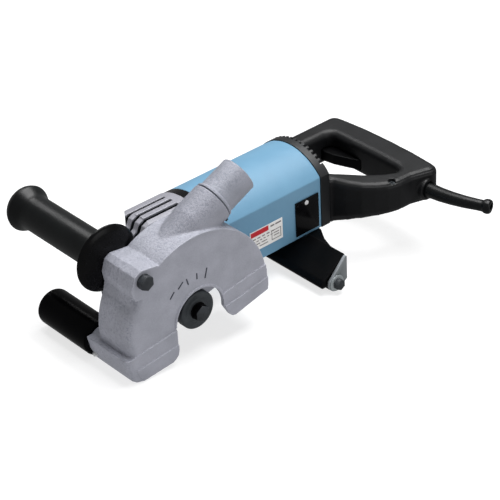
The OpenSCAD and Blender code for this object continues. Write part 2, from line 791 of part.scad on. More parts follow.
module rear_roller() color([0.06, 0.06, 0.06]) turned_y(rear_x, rear_z)
  polygon([[4.05, rear_y0 + 0.4], [rear_roller_r - 0.6, rear_y0 + 0.4],
           [rear_roller_r, rear_y0 + 1], [rear_roller_r, rear_y1 - 1],
           [rear_roller_r - 0.6, rear_y1], [4.05, rear_y1]]);

module rear_axle() color([0.4, 0.42, 0.42]) {
  rod_y(4, -32.2, 111, rear_x, rear_z);
  rod_y(9.3, -33.6, -32.25, rear_x, rear_z);
  hex_y(12.6, -39.5, -33.6, rear_x, rear_z);
  rod_y(4, -34, -32, rear_x, rear_z);
  hex_y(13, 107.05, 112.5, rear_x, rear_z);
}

// ---------------------------------------------------------------- handle

function arc_pts(cx, cy, r, a0, a1, n) =
  [for (i = [0 : n]) let (a = a0 + (a1 - a0) * i / n)
    [cx + r * cos(a), cy + r * sin(a)]];

// Outer plan (x, y) of the D handle.
module loop_outer()
  polygon(concat(
    [[handle_x0, 31.5], [236, 29.5], [241.5, 14.5], [250, -1], [261, -12.5],
     [272, -20], [287, -24.4], [303, -25]],
    arc_pts(328.6, -20.4, 12, -125, -8, 8),
    [[343.2, 10], [344.2, 45], [343.8, 85], [341, 120]],
    arc_pts(329.2, 123.8, 11, -2, 92, 7),
    [[250, 134.9], [240, 132.4], [handle_x0, 127.4]]));

// Finger opening of the D handle.
module loop_inner()
  polygon(concat(
    arc_pts(256, 50, 9, 180, 214, 2),
    [[258, 34], [271.5, 16.8], [287.5, 2.4]],
    arc_pts(299, 5, 9, -95, -8, 5),
    [[309, 30], [309.5, 90]],
    arc_pts(300.5, 100, 9, 0, 90, 5),
    arc_pts(255, 100, 9, 90, 180, 5)));

module loop_plan(inset = 0) difference() {
  offset(delta = -inset) loop_outer();
  offset(delta = inset) loop_inner();
}

// Side view (x, z) that lets the legs deepen towards the motor body.
module leg_side(inset = 0)
  polygon([[handle_x0, inset - 29], [239 - inset, inset - 28],
           [245 - inset, inset - 22.4], [252 - inset, inset - 17.4],
           [262 - inset, inset - 13.8], [276 - inset, inset - handle_low],
           [400, inset - handle_low],
           [400, handle_top - inset], [handle_x0, handle_top - inset]]);

module loop_solid(side_inset, edge_inset) intersection() {
  translate([0, 0, -60]) linear_extrude(120) loop_plan(side_inset);
  slab(-60, 160) leg_side(edge_inset);
}

// Handle body: four steps round every long edge, and the cord guard's boss.
module handle_body() {
  for (step = [[0, 6], [1, 3.2], [3, 1], [6, 0]]) loop_solid(step[0], step[1]);
  translate([320.6, -22, 5]) rotate([90, 0, 6]) cylinder(h = 10, r = 12.5);
}

module handle_cavity() difference() {
  intersection() {
    translate([0, 0, -60]) linear_extrude(120) loop_plan(handle_wall);
    slab(-60, 160) leg_side(handle_wall);
  }
  translate([200, -60, -60]) cube([handle_x0 + handle_wall - 200, 250, 120]);
  for (p = screw_spots) translate([p[0], p[1], -40]) cylinder(h = 90, r = 5);
}

// Handle screws: (x, y) and 1 for one from above, 0 for one from below.
screw_spots = [[281, -16, 1], [334, -12.5, 0], [327, 123, 0], [262, 125.5, 0]];

module at_screws() for (p = screw_spots)
  translate([p[0], p[1], p[2] == 1 ? handle_top : -handle_low])
    mirror([0, 0, 1 - p[2]]) children();

module screw_holes() at_screws() {
  translate([0, 0, -33]) cylinder(h = 40, r = 2.05);
  translate([0, 0, -6]) cylinder(h = 20, r = 3.6);
}

module trigger_window() {
  translate([trigger_x0, trigger_y0 - 0.6, trigger_z0 - 0.6])
    cube([25, trigger_y1 - trigger_y0 + 1.2, trigger_z1 - trigger_z0 + 1.2]);
}

module handle_shell(z0, z1) difference() {
  intersection() {
    handle_body();
    translate([200, -100, z0]) cube([200, 300, z1 - z0]);
  }
  handle_cavity();
  screw_holes();
  trigger_window();
  translate([320.6, -22, 5]) rotate([90, 0, 6]) translate([0, 0, -14])
    cylinder(h = 40, r = 8.6);
  translate([322, 99, -40]) cylinder(h = 38, r = 6.2);
}

module handle_upper() color([0.1, 0.1, 0.11])
  handle_shell(handle_split, 60);

module handle_lower() color([0.08, 0.08, 0.09])
  handle_shell(-60, handle_split);

module handle_screws() color([0.3, 0.3, 0.3]) at_screws() difference() {
  union() {
    translate([0, 0, -31.5]) cylinder(h = 26, r = 2);
    translate([0, 0, -6]) cylinder(h = 2.6, r = 3.4);
  }
  translate([-0.5, -2.6, -4.4]) cube([1, 5.2, 2]);
  translate([-2.6, -0.5, -4.4]) cube([5.2, 1, 2]);
}

module switch_body() color([0.14, 0.14, 0.14]) difference() {
  union() {
    translate([320.5, 82, -2]) cube([13, 32, 19]);
    translate([324, 60, 0]) cube([8, 22, 12]);
  }
  translate([320, 98, 3]) rotate([0, 90, 0]) cylinder(h = 8, r = 3);
}

// Lever outline (x, y): it stands furthest out under the first finger.
module trigger_plan()
  polygon([[313.5, trigger_y1], [299, trigger_y1], [296, trigger_y1 - 3],
           [trigger_x0, 104], [297, 92], [302, 78], [307, 66],
           [311, trigger_y0], [313.5, trigger_y0]]);

module trigger() color([0.12, 0.12, 0.12]) difference() {
  translate([0, 0, trigger_z0]) linear_extrude(trigger_z1 - trigger_z0)
    trigger_plan();
  translate([307, 84, trigger_z0 + 2.5])
    cube([20, trigger_y1 - 87, trigger_z1 - trigger_z0 - 5]);
}

module trigger_spring() color([0.65, 0.65, 0.65])
  translate([308.2, 98, 3]) rotate([0, 90, 0]) difference() {
    cylinder(h = 12.1, r = 2.6);
    translate([0, 0, -1]) cylinder(h = 16, r = 1.8);
  }

module lock_button() color([0.12, 0.12, 0.12])
  translate([322, 99, 0]) rotate_extrude()
    polygon([[0, -14.6], [4.6, -14.6], [5.9, -13.3], [5.9, -8.8], [0, -8.8]]);

// Rubber sleeve at the cord's exit: (x, y, z, radius) along its middle line.
sleeve = [[320.4, -20, 5, 8.4], [321.8, -33, 4.8, 8.4],
          [323.4, -48, 4.8, 7.9], [326, -63, 5.2, 7.4],
          [329.6, -78, 5.8, 6.9], [334.2, -92, 6.4, 6.4]];
tip = [338.2, -102.4, 6.9];
tip_turn = atan2(tip[0] - sleeve[5][0], sleeve[5][1] - tip[1]);

module cord_guard() color([0.05, 0.05, 0.05]) difference() {
  union() {
    for (i = [0 : 4]) hull() {
      translate([sleeve[i][0], sleeve[i][1], sleeve[i][2]])
        sphere(r = sleeve[i][3], $fn = soft_fn);
      translate([sleeve[i + 1][0], sleeve[i + 1][1], sleeve[i + 1][2]])
        sphere(r = sleeve[i + 1][3], $fn = soft_fn);
    }
    translate([sleeve[5][0], sleeve[5][1], sleeve[5][2]])
      rotate([90, 0, tip_turn]) cylinder(h = 7, r = 6.4);
    translate(tip) rotate([90, 0, tip_turn]) rotate_extrude()
      polygon([[0, -5], [6, -5], [8, -2], [8.3, 1], [7.7, 3.6], [6.4, 4.8],
               [0, 4.8]]);
  }
  translate(tip) rotate([90, 0, tip_turn]) translate([0, 0, -10])
    cylinder(h = 20, r = 4.2);
}

module cord_clamp() color([0.2, 0.2, 0.2])
  translate([312, -8, -3]) difference() {
    cube([18, 7, 16]);
    translate([9, -1, 8]) rotate([-90, 0, 0]) cylinder(h = 12, r = 4.2);
  }

// ---------------------------------------------------------------- nodes

stance() wheel_guard();
stance() scale_marks();
stance() dust_spout();
stance() spout_screws();
stance() guard_clamp_bolt();
stance() grip_bolt();
stance() side_grip();
stance() hand_shield();
stance() roller_axle();
stance() roller_screw();
stance() front_roller();
stance() spindle();
stance() bevel_gear();
stance() inner_flange();
stance() spacer_rings();
stance() outer_flange();
stance() arbor_bolt();
stance() gear_key();
stance() bearing_box();
stance() bearing_box_screws();
stance() spindle_bearing();
stance() spindle_bush();
stance() gear_housing();
stance() gear_housing_screws();
stance() baffle_ring();
stance() shaft_lock_pin();
stance() shaft_lock_spring();
stance() armature_shaft();
stance() armature_core();
stance() armature_winding();
stance() commutator();
stance() cooling_fan();
stance() bevel_pinion();
stance() front_motor_bearing();
stance() rear_motor_bearing();
stance() motor_housing();
stance() field_core();
stance() field_coils();
stance() name_plate();
stance() brush_holders();
stance() carbon_brushes();
stance() brush_springs();
stance() brush_cover_near();
stance() brush_cover_far();
stance() brush_cover_screws();
stance() rear_vent_ring();
stance() rear_bracket();
stance() rear_plate_near();
stance() rear_plate_far();
stance() rear_roller();
stance() rear_axle();
stance() handle_upper();
stance() handle_lower();
stance() handle_screws();
stance() switch_body();
stance() trigger();
stance() trigger_spring();
stance() lock_button();
stance() cord_guard();
stance() cord_clamp();
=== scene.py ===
"""Looks of the wall chaser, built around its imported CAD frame.

Lengths in the body frame are in millimetres: X runs to the rear, Y away from
the camera's side, Z up, with the origin on the spindle. at() turns such a
point into the row frame, in metres.
"""
import json
import math

import bpy
import bmesh
from mathutils import Matrix, Vector


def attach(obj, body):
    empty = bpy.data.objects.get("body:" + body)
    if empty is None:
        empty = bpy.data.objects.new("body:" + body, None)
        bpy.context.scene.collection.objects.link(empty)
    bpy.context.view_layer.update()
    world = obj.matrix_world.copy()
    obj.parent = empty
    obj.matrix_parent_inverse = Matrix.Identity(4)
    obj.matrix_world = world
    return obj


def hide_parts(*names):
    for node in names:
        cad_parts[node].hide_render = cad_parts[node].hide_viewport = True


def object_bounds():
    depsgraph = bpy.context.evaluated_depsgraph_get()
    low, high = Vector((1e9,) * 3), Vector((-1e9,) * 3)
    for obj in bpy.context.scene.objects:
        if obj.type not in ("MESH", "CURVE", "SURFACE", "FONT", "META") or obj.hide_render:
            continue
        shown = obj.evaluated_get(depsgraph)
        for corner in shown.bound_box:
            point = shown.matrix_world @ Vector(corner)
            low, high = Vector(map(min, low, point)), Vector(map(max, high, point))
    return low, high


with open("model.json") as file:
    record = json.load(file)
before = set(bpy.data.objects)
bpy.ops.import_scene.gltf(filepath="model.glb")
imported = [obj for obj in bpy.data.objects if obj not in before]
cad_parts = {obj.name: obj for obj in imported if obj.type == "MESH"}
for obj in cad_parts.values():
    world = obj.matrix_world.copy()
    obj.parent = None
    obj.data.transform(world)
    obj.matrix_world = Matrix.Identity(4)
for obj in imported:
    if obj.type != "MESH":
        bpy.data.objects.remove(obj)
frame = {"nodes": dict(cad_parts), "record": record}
cad_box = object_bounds()

MM = 0.001
LEAN = math.radians(-3.5545)
STANCE = Matrix.Rotation(LEAN, 4, "Y")
BODY_OF = {
    node: body
    for body, nodes in frame["record"]["behaviour"]["bodies"].items()
    for node in nodes
}
scene = bpy.context.scene

# Places and sizes of the CAD that the shapes below follow, in mm.
MOTOR_Y = 79
GUARD_R = 90
SHOE_R = 97.5
GRIP_AXIS = (-66.8, 0, 69.8)
FRONT_ROLLER_AXIS = (-79.5, 0, -23.5)
SPOUT_SEAT = (47, 1, 99.3)
SPOUT_RISE = 25
GEAR_TOP_R = 61.7
GEAR_FRONT = [(-12, 41), (3, 50), (6.5, 57), (13.01, 59.5)]
SLOT_Y, SLOT_PITCH, SLOT_COUNT = 58.8, 11, 4
SLOT_REAR_X = 57.5
HANDLE_SCREW = (281, -16)
PLATE_FACE_Y = 31.12


def at(x, y, z):
    """A point of the body frame, in the row frame."""
    return STANCE @ Vector((x * MM, y * MM, z * MM))


def smoothstep(edge0, edge1, x):
    """0 below edge0, 1 above edge1, and a smooth rise between them."""
    t = min(max((x - edge0) / (edge1 - edge0), 0.0), 1.0)
    return t * t * (3 - 2 * t)


# ------------------------------------------------------------------ camera

def make_camera():
    data = bpy.data.cameras.new("camera")
    data.sensor_width = 36
    data.lens = 136.06
    data.clip_end = 50
    cam = bpy.data.objects.new("camera", data)
    scene.collection.objects.link(cam)
    right = Vector((0.748412, -0.663232, 0.001695))
    up = Vector((0.339960, 0.385814, 0.857657))
    back = -Vector((0.569479, 0.641304, -0.514220))
    turn = Matrix((right, up, back)).transposed().to_4x4()
    cam.matrix_world = Matrix.Translation((-1.0200, -1.2488, 1.0270)) @ turn
    scene.camera = cam


make_camera()


# --------------------------------------------------------------- materials

def socket(node, name, value):
    node.inputs[name].default_value = value


def rgb(r, g, b):
    """sRGB 0-255 to linear, with alpha."""
    out = []
    for c in (r, g, b):
        c /= 255
        out.append(c / 12.92 if c <= 0.04045 else ((c + 0.055) / 1.055) ** 2.4)
    return (*out, 1.0)


class Shader:
    """A Principled material whose colour, roughness and bump come from
    noise in the object's own coordinates."""

    def __init__(self, name, **sockets):
        self.mat = bpy.data.materials.new(name)
        self.mat.use_nodes = True
        self.tree = self.mat.node_tree
        self.bsdf = self.tree.nodes["Principled BSDF"]
        for key, value in sockets.items():
            socket(self.bsdf, key, value)
        self.coord = self.tree.nodes.new("ShaderNodeTexCoord")
        self.normal = None

    def link(self, a, b):
        self.tree.links.new(a, b)

    def noise(self, scale, detail=3.0, rough=0.55, stretch=(1, 1, 1)):
        mapping = self.tree.nodes.new("ShaderNodeMapping")
        mapping.inputs["Scale"].default_value = stretch
        node = self.tree.nodes.new("ShaderNodeTexNoise")
        socket(node, "Scale", scale)
        socket(node, "Detail", detail)
        socket(node, "Roughness", rough)
        self.link(self.coord.outputs["Object"], mapping.inputs["Vector"])
        self.link(mapping.outputs["Vector"], node.inputs["Vector"])
        return node.outputs["Fac"]

    def ramp(self, fac, stops):
        node = self.tree.nodes.new("ShaderNodeValToRGB")
        node.color_ramp.elements[0].position = stops[0][0]
        node.color_ramp.elements[0].color = stops[0][1]
        node.color_ramp.elements[1].position = stops[-1][0]
        node.color_ramp.elements[1].color = stops[-1][1]
        for pos, col in stops[1:-1]:
            node.color_ramp.elements.new(pos).color = col
        self.link(fac, node.inputs["Fac"])
        return node.outputs["Color"]

    def map(self, fac, low, high, lo_in=0.3, hi_in=0.7):
        node = self.tree.nodes.new("ShaderNodeMapRange")
        socket(node, "From Min", lo_in)
        socket(node, "From Max", hi_in)
        socket(node, "To Min", low)
        socket(node, "To Max", high)
        self.link(fac, node.inputs["Value"])
        return node.outputs["Result"]

    def mix(self, fac, a, b, blend="MIX"):
        node = self.tree.nodes.new("ShaderNodeMix")
        node.data_type = "RGBA"
        node.blend_type = blend
        for sock, value in ((node.inputs[0], fac), (node.inputs[6], a),
                            (node.inputs[7], b)):
            if isinstance(value, bpy.types.NodeSocket):
                self.link(value, sock)
            else:
                sock.default_value = value
        return node.outputs[2]

    def bump(self, height, strength, distance):
        node = self.tree.nodes.new("ShaderNodeBump")
        socket(node, "Strength", strength)
        socket(node, "Distance", distance)
        self.link(height, node.inputs["Height"])
        if self.normal:
            self.link(self.normal, node.inputs["Normal"])
        self.normal = node.outputs["Normal"]
        self.link(self.normal, self.bsdf.inputs["Normal"])

    def colour(self, out):
        self.link(out, self.bsdf.inputs["Base Color"])

    def roughness(self, out):
        self.link(out, self.bsdf.inputs["Roughness"])

    def edge(self):
        """Above 0.5 on convex edges, from the mesh's own curvature."""
        geo = self.tree.nodes.new("ShaderNodeNewGeometry")
        return geo.outputs["Pointiness"]

    def away_from_near_side(self):
        """0 on faces that look straight out of the guard's open side, 1 on
        all others."""
        geo = self.tree.nodes.new("ShaderNodeNewGeometry")
        split = self.tree.nodes.new("ShaderNodeSeparateXYZ")
        self.link(geo.outputs["Normal"], split.inputs["Vector"])
        return self.map(split.outputs["Y"], 0.0, 1.0, -0.98, -0.8)

    def height(self):
        """Height above the spindle in metres, in the row frame."""
        split = self.tree.nodes.new("ShaderNodeSeparateXYZ")
        self.link(self.coord.outputs["Object"], split.inputs["Vector"])
        return split.outputs["Z"]

    def scaled(self, fac, other):
        """The product of two values."""
        node = self.tree.nodes.new("ShaderNodeMath")
        node.operation = "MULTIPLY"
        self.link(fac, node.inputs[0])
        self.link(other, node.inputs[1])
        return node.outputs[0]


def cast_metal(name, low, high, rough=(0.42, 0.58), grain=900.0, bump=0.22,
               metallic=0.15, mottle=45.0, blast=0.0, top=1.0):
    """Blasted casting; blast roughens every face but the near one, and top
    scales the colour of the hood, 80 to 100 mm above the spindle."""
    s = Shader(name, Metallic=metallic)
    broad = s.noise(mottle, 4, 0.6)
    fine = s.noise(grain, 2, 0.6)
    base = s.ramp(broad, [(0.3, low), (0.7, high)])
    speck = s.ramp(fine, [(0.25, (0.84, 0.84, 0.85, 1)), (0.75, (1, 1, 1, 1))])
    base = s.mix(0.8, base, speck, "MULTIPLY")
    if blast:
        pits = s.noise(430, 3, 0.7)
        where = s.away_from_near_side()
        spots = s.ramp(pits, [(0.34, (0.66, 0.69, 0.72, 1)),
                              (0.5, (1, 1, 1, 1)),
                              (0.7, (1.12, 1.12, 1.13, 1))])
        amount = s.scaled(where, s.map(broad, 0.45 * blast, blast))
        base = s.mix(amount, base, s.mix(1.0, base, spots, "MULTIPLY"))
        s.bump(s.scaled(pits, where), 0.5 * blast, 0.0012)
    if top < 1:
        base = s.mix(s.map(s.height(), 0.0, 1.0, 0.080, 0.100), base,
                     s.mix(1.0, base, (top, top, 1.01 * top, 1), "MULTIPLY"))
    wear = s.map(s.edge(), 0.0, 0.4, 0.52, 0.58)
    s.colour(s.mix(wear, base, rgb(206, 208, 216)))
    s.roughness(s.map(broad, rough[0], rough[1]))
    s.bump(fine, bump, 0.0005)
    s.bump(s.noise(160, 3, 0.5), 0.1, 0.001)
    return s.mat


def plastic(name, low, high, rough=(0.32, 0.45), grain=1400.0, bump=0.1,
            edge=None, shine=0.5):
    """Moulded plastic or rubber; edge is the colour of its worn edges."""
    s = Shader(name, Metallic=0.0)
    socket(s.bsdf, "Specular IOR Level", shine)
    broad = s.noise(38, 4, 0.6)
    fine = s.noise(grain, 2, 0.5)
    base = s.ramp(broad, [(0.3, low), (0.7, high)])
    if edge:
        wear = s.map(s.edge(), 0.0, 0.6, 0.52, 0.6)
        base = s.mix(wear, base, edge)
    s.colour(base)
    s.roughness(s.map(broad, rough[0], rough[1]))
    s.bump(fine, bump, 0.0004)
    return s.mat


def bare_metal(name, low, high, rough=(0.25, 0.4), metallic=0.9,
               stretch=(1, 1, 1)):
    """Turned or plated steel, or another bare metal."""
    s = Shader(name, Metallic=metallic)
    broad = s.noise(60, 4, 0.6)
    streak = s.noise(500, 3, 0.6, stretch)
    s.colour(s.ramp(broad, [(0.3, low), (0.7, high)]))
    s.roughness(s.map(streak, rough[0], rough[1]))
    s.bump(streak, 0.08, 0.0004)
    return s.mat


MATS = {
    "guard": cast_metal("mat_guard_casting", rgb(155, 157, 167),
                        rgb(169, 170, 181), blast=1.0, top=0.8),
    "spout": cast_metal("mat_spout_casting", rgb(140, 143, 153),
                        rgb(154, 156, 167), blast=1.0),
    "gear": cast_metal("mat_gear_casting", rgb(140, 140, 148),
                       rgb(154, 154, 162), grain=1200, bump=0.12, blast=0.35),
    # Painted shade: a dark material for the shadow inside the gear housing's cooling
    # slots.
    "slot": plastic("mat_slot_painted_shade", rgb(26, 30, 32), rgb(40, 45, 48),
                    rough=(0.6, 0.7), shine=0.1),
    "blue": plastic("mat_blue_housing", rgb(100, 143, 171),
                    rgb(105, 148, 176), rough=(0.4, 0.5), grain=1500,
                    bump=0.08, shine=0.35),
    "black": plastic("mat_black_plastic", rgb(2, 2, 3), rgb(4, 4, 5),
                     rough=(0.36, 0.46), edge=rgb(24, 26, 28), shine=0.1),
    "vent": plastic("mat_vent_ring", rgb(14, 16, 18), rgb(20, 22, 25),
                    rough=(0.4, 0.5), edge=rgb(48, 50, 54), shine=0.5),
    "handle": plastic("mat_handle_plastic", rgb(6, 7, 9), rgb(10, 11, 14),
                      rough=(0.42, 0.5), grain=1000, bump=0.16,
                      edge=rgb(16, 17, 19), shine=0.36),
    "gloss": plastic("mat_gloss_black", rgb(4, 4, 5), rgb(7, 7, 8),
                     rough=(0.22, 0.32), bump=0.04, shine=0.16),
    "rubber": plastic("mat_rubber", rgb(4, 5, 6), rgb(8, 11, 12),
                      rough=(0.3, 0.38), grain=900, bump=0.14,
                      edge=rgb(40, 43, 45), shine=0.3),
    "roller": plastic("mat_roller", rgb(2, 2, 3), rgb(5, 5, 6),
                      rough=(0.2, 0.28), bump=0.08, edge=rgb(14, 14, 16),
                      shine=0.06),
    "plate": cast_metal("mat_zinc_plate", rgb(112, 118, 120),
                        rgb(130, 136, 138), grain=700, bump=0.2,
                        metallic=0.3),
    "washer": cast_metal("mat_zinc_washer", rgb(150, 158, 160),
                         rgb(182, 188, 190), grain=900, bump=0.3,
                         metallic=0.5),
    "steel": bare_metal("mat_steel", rgb(150, 151, 155), rgb(190, 190, 193)),
    "bright": bare_metal("mat_bright_screw", rgb(225, 226, 227),
                         rgb(245, 245, 245), rough=(0.3, 0.45),
                         metallic=0.4),
    "dark": bare_metal("mat_blackened_steel", rgb(48, 52, 56),
                       rgb(66, 71, 75), rough=(0.4, 0.55), metallic=0.3),
    "black_bolt": bare_metal("mat_black_bolt", rgb(38, 41, 45),
                             rgb(54, 58, 63), rough=(0.4, 0.55),
                             metallic=0.2),
    # The raised scale marks are real shapes cast with the guard; their dark colour is
    # painted shade, standing in for the shade of embossed marks.
    "mark": plastic("mat_scale_mark_painted_shade", rgb(48, 52, 62), rgb(62, 66, 76),
                    rough=(0.5, 0.6)),
    "copper": bare_metal("mat_copper", rgb(150, 86, 50), rgb(190, 116, 72)),
    "brass": bare_metal("mat_brass", rgb(170, 140, 74), rgb(200, 170, 96)),
    "carbon": plastic("mat_carbon", rgb(32, 32, 33), rgb(44, 44, 45),
                      rough=(0.5, 0.7)),
    "label": plastic("mat_label_white", rgb(226, 224, 222),
                     rgb(240, 238, 236), rough=(0.3, 0.4), bump=0.03),
    "red": plastic("mat_label_red", rgb(186, 34, 46), rgb(202, 44, 56),
                   rough=(0.3, 0.4), bump=0.03),
    "ink": plastic("mat_label_ink", rgb(96, 92, 92), rgb(126, 120, 120),
                   rough=(0.3, 0.4), bump=0.03),
}

NODE_MATS = {
    "guard": ["wheel_guard"],
    "spout": ["dust_spout"],
    "gear": ["gear_housing", "bearing_box"],
    "blue": ["motor_housing"],
    "vent": ["rear_vent_ring"],
    "black": ["rear_bracket", "trigger", "lock_button",
              "switch_body", "cooling_fan", "cord_clamp"],
    "handle": ["handle_upper", "handle_lower"],
    "gloss": ["baffle_ring", "hand_shield", "brush_cover_near",
              "brush_cover_far"],
    "rubber": ["side_grip", "cord_guard"],
    "roller": ["front_roller", "rear_roller"],
    "plate": ["rear_plate_near", "rear_plate_far"],
    "steel": ["spindle", "spacer_rings", "bevel_gear", "bevel_pinion",
              "gear_key", "spindle_bearing", "front_motor_bearing",
              "rear_motor_bearing", "armature_shaft", "armature_core",
              "field_core", "roller_axle", "brush_springs", "trigger_spring",
              "shaft_lock_spring", "shaft_lock_pin"],
    "bright": ["roller_screw", "brush_cover_screws"],
    "dark": ["outer_flange", "inner_flange", "guard_clamp_bolt",
             "spout_screws", "bearing_box_screws", "gear_housing_screws",
             "handle_screws"],
    "black_bolt": ["arbor_bolt", "grip_bolt", "rear_axle"],
    "mark": ["scale_marks"],
    "copper": ["armature_winding", "field_coils", "commutator"],
    "brass": ["brush_holders", "spindle_bush"],
    "carbon": ["carbon_brushes"],
    "label": ["name_plate"],
}
MAT_OF = {node: mat for mat, nodes in NODE_MATS.items() for node in nodes}

for node, obj in frame["nodes"].items():
    obj.data.materials.clear()
    obj.data.materials.append(MATS[MAT_OF[node]])


# --------------------------------------------------------------- geometry

def add_object(name, mesh, mat):
    obj = bpy.data.objects.new(name, mesh)
    scene.collection.objects.link(obj)
    mesh.materials.clear()
    mesh.materials.append(MATS[mat])
    return obj


def place(obj, body, nodes=()):
    """Puts a piece in its body, in place of some nodes."""
    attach(obj, body)
    if nodes:
        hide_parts(*nodes)
    return obj


def apply_modifiers(obj):
    dg = bpy.context.evaluated_depsgraph_get()
    mesh = bpy.data.meshes.new_from_object(obj.evaluated_get(dg))
    obj.modifiers.clear()
    old = obj.data
    obj.data = mesh
    bpy.data.meshes.remove(old)


def group_by(obj, name, weight):
    """Vertex group from weight(x, y, z) in body-frame millimetres."""
    group = obj.vertex_groups.new(name=name)
    steps = {}
    for v in obj.data.vertices:
        w = weight(v.co.x / MM, v.co.y / MM, v.co.z / MM)
        if w > 0.02:
            steps.setdefault(round(w, 1) or 0.1, []).append(v.index)
    for w, indices in steps.items():
        group.add(indices, w, "REPLACE")
    return group


def body_copy(nodes):
    """The CAD meshes of some nodes in one bmesh, in the body frame."""
    bm = bmesh.new()
    for node in nodes:
        mesh = frame["nodes"][node].data.copy()
        mesh.transform(STANCE.inverted())
        bm.from_mesh(mesh)
        bpy.data.meshes.remove(mesh)
    return bm


def to_mesh(bm, name):
    mesh = bpy.data.meshes.new(name)
    bm.to_mesh(mesh)
    bm.free()
    return mesh


def soften(nodes, name, voxel=0.8, passes=6, regions=()):
    """A copy of CAD nodes with cast or moulded edges: it is remeshed in the
    body frame and smoothed, more so in each (weight function, passes)."""
    obj = add_object(name, to_mesh(body_copy(nodes), name), MAT_OF[nodes[0]])
    remesh = obj.modifiers.new("remesh", "REMESH")
    remesh.mode = "VOXEL"
    remesh.voxel_size = voxel * MM
    apply_modifiers(obj)
    smooth = obj.modifiers.new("smooth", "SMOOTH")
    smooth.factor = 0.5
    smooth.iterations = passes
    for i, (weight, count) in enumerate(regions):
        group = group_by(obj, f"region{i}", weight)
        more = obj.modifiers.new(f"more{i}", "SMOOTH")
        more.factor = 0.5
        more.iterations = count
        more.vertex_group = group.name
    apply_modifiers(obj)
    obj.data.transform(STANCE)
    obj.data.shade_smooth()
    return place(obj, BODY_OF[nodes[0]], nodes)


def bevelled(node, name, width):
    """A copy of a CAD node with its sharp edges broken."""
    bm = body_copy([node])
    bmesh.ops.remove_doubles(bm, verts=bm.verts, dist=0.01 * MM)
    bmesh.ops.dissolve_limit(bm, angle_limit=math.radians(0.5),
                             verts=bm.verts, edges=bm.edges)
    obj = add_object(name, to_mesh(bm, name), MAT_OF[node])
    bevel = obj.modifiers.new("bevel", "BEVEL")
    bevel.width = width * MM
    bevel.segments = 3
    bevel.limit_method = "ANGLE"
    bevel.angle_limit = math.radians(32)
    bevel.harden_normals = True
    apply_modifiers(obj)
    obj.data.transform(STANCE)
    obj.data.shade_smooth()
    obj.data.set_sharp_from_angle(angle=math.radians(40))
    return place(obj, BODY_OF[node], [node])


def paint(obj, mat, test):
    """Gives the faces whose middle passes test(x, y, z), in body-frame
    millimetres, another material."""
    obj.data.materials.append(MATS[mat])
    back = STANCE.inverted()
    for face in obj.data.polygons:
        c = back @ face.center
        if test(c.x / MM, c.y / MM, c.z / MM):
            face.material_index = 1


def lathe(node, name, profile, centre, ring=False, frame_of=None):
    """A turned shape in place of a CAD node: profile is (radius, distance
    along the axis) in mm, about an axis along Y or along frame_of's Z. A
    ring's profile runs all the way round; other shapes are closed by discs."""
    segments = 128
    turn = frame_of or Matrix.Rotation(math.radians(-90), 4, "X")
    bm = bmesh.new()
    rings = []
    for r, d in profile:
        points = []
        for i in range(segments):
            a = 2 * math.pi * i / segments
            p = turn @ Vector((r * math.cos(a), r * math.sin(a), d))
            points.append(bm.verts.new(at(*(Vector(centre) + p))))
        rings.append(points)
    pairs = list(zip(rings, rings[1:]))
    if ring:
        pairs.append((rings[-1], rings[0]))
    else:
        bm.faces.new(rings[0])
        bm.faces.new(rings[-1])
    for one, two in pairs:
        for i in range(segments):
            j = (i + 1) % segments
            bm.faces.new((one[i], one[j], two[j], two[i]))
    bmesh.ops.recalc_face_normals(bm, faces=bm.faces)
    mesh = to_mesh(bm, name)
    mesh.shade_smooth()
    mesh.set_sharp_from_angle(angle=math.radians(38))
    obj = add_object(name, mesh, MAT_OF[node])
    return place(obj, BODY_OF[node], [node])


def rounded(profile, radius, steps=5):
    """A profile with its corners rounded, keeping the two end points."""
    pts = [Vector(p) for p in profile]
    out = [pts[0]]
    for before, corner, after in zip(pts, pts[1:], pts[2:]):
        a, b = before - corner, after - corner
        cut = min(radius, a.length * 0.49, b.length * 0.49)
        start, end = corner + a.normalized() * cut, corner + b.normalized() * cut
        for i in range(steps + 1):
            t = i / steps
            out.append((1 - t) ** 2 * start + 2 * t * (1 - t) * corner
                       + t * t * end)
    out.append(pts[-1])
    return [tuple(p) for p in out]


# ----------------------------------------------------------------- pieces

def guard_front(x, y, z):
    """The near edge of the guard's front lobe, which is rounded over."""
    if x > -50 or z > 52 or y > -8:
        return 0.0
    outer = GUARD_R if z > -13.2 else SHOE_R
    off = math.hypot(max(outer - 4.5 - math.hypot(x, z), 0), y + 22)
    return (1 - smoothstep(5, 10, off)) * smoothstep(-15.5, -11.5, z) \
        * (1 - smoothstep(44, 50, z))


def hood_blend(x, y, z):
    """Where the dust hood runs into the rim."""
    if z < 55 or abs(y) > 26:
        return 0.0
    rise = math.radians(SPOUT_RISE)
    dx, dz = x - SPOUT_SEAT[0], z - SPOUT_SEAT[2]
    along = dx * math.cos(rise) + dz * math.sin(rise)
    across = dz * math.cos(rise) - dx * math.sin(rise)
    side = math.hypot(y - SPOUT_SEAT[1], across)
    hood_r = min(22.6, 15.5 + 7.1 * (along + 94) / 60)
    near_hood = 1 - smoothstep(3, 7, abs(side - hood_r))
    near_rim = 1 - smoothstep(4, 9, abs(math.hypot(x, z) - GUARD_R))
    return near_hood * near_rim * (1 - smoothstep(-14, -6, along)) \
        * smoothstep(-24.2, -21.5, y)


def handle_edges(x, y, z):
    """All of the handle but the well of the screw on top of the near leg."""
    well = math.hypot(x - HANDLE_SCREW[0], y - HANDLE_SCREW[1])
    return smoothstep(5, 9, well) \
        * smoothstep(-26, -22, y)


def handle_inner(x, y, z):
    """The edges round the finger opening, and the legs' roots."""
    return smoothstep(236, 250, x) * (1 - smoothstep(313, 318, x)) \
        * smoothstep(-6, 4, y) * (1 - smoothstep(112, 118, y)) \
        * (1 - smoothstep(-3, 2, 8 - abs(z - 9)))


